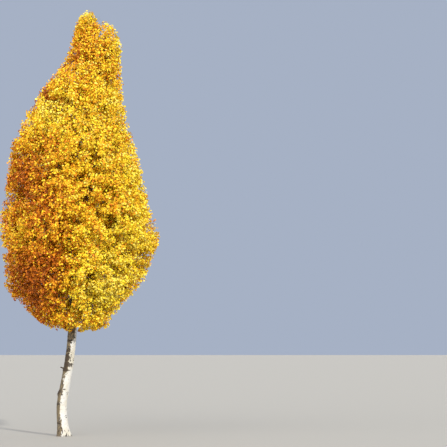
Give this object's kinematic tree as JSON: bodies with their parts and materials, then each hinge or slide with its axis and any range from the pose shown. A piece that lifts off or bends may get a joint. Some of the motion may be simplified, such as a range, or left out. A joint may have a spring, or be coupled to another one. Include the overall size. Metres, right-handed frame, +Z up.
{
  "type": "poplar tree",
  "caption": "Slender poplar in autumn leaf: one pale, slightly bent trunk with boughs and a tall egg-shaped gold crown that ends in twin peaks.",
  "frame": {"origin": "middle of the flat cut under the trunk, at ground level", "axes": "+Z up the tree, +X to the side of the lower of the crown's two peaks, -Y the front that the picture shows"},
  "size_m": [3.9051, 3.7583, 10.9841],
  "materials": {
    "trunk_bark": "smooth chalky cream bark with dark scars",
    "bough_bark": "matte grey-buff bark",
    "leaves_yellow": "soft satin leaf",
    "leaves_gold": "soft satin leaf",
    "leaves_amber": "soft satin leaf"
  },
  "bodies": {
    "root": {"trunk": "trunk_bark", "bough_right_peak": "bough_bark", "bough_skirt_1": "bough_bark", "bough_skirt_2": "bough_bark", "bough_skirt_3": "bough_bark", "bough_skirt_4": "bough_bark", "bough_skirt_5": "bough_bark", "bough_lower_1": "bough_bark", "bough_lower_2": "bough_bark", "bough_lower_3": "bough_bark", "bough_lower_4": "bough_bark", "bough_lower_5": "bough_bark", "bough_middle_1": "bough_bark", "bough_middle_2": "bough_bark", "bough_middle_3": "bough_bark", "bough_middle_4": "bough_bark", "bough_middle_5": "bough_bark", "bough_upper_1": "bough_bark", "bough_upper_2": "bough_bark", "bough_upper_3": "bough_bark", "bough_upper_4": "bough_bark", "bough_upper_5": "bough_bark", "bough_shoulder_1": "bough_bark", "bough_shoulder_2": "bough_bark", "bough_shoulder_3": "bough_bark", "bough_shoulder_4": "bough_bark", "foliage_right_peak": "leaves_yellow", "foliage_left_peak": "leaves_gold", "foliage_skirt_1": "leaves_gold", "foliage_skirt_2": "leaves_gold", "foliage_skirt_3": "leaves_gold", "foliage_skirt_4": "leaves_amber", "foliage_skirt_5": "leaves_gold", "foliage_lower_1": "leaves_yellow", "foliage_lower_2": "leaves_gold", "foliage_lower_3": "leaves_amber", "foliage_lower_4": "leaves_amber", "foliage_lower_5": "leaves_gold", "foliage_middle_1": "leaves_yellow", "foliage_middle_2": "leaves_yellow", "foliage_middle_3": "leaves_gold", "foliage_middle_4": "leaves_amber", "foliage_middle_5": "leaves_gold", "foliage_upper_1": "leaves_yellow", "foliage_upper_2": "leaves_gold", "foliage_upper_3": "leaves_amber", "foliage_upper_4": "leaves_gold", "foliage_upper_5": "leaves_yellow", "foliage_shoulder_1": "leaves_gold", "foliage_shoulder_2": "leaves_amber", "foliage_shoulder_3": "leaves_amber", "foliage_shoulder_4": "leaves_gold", "foliage_neck_1": "leaves_amber", "foliage_neck_2": "leaves_gold", "foliage_neck_3": "leaves_gold"}
  },
  "joints": []
}
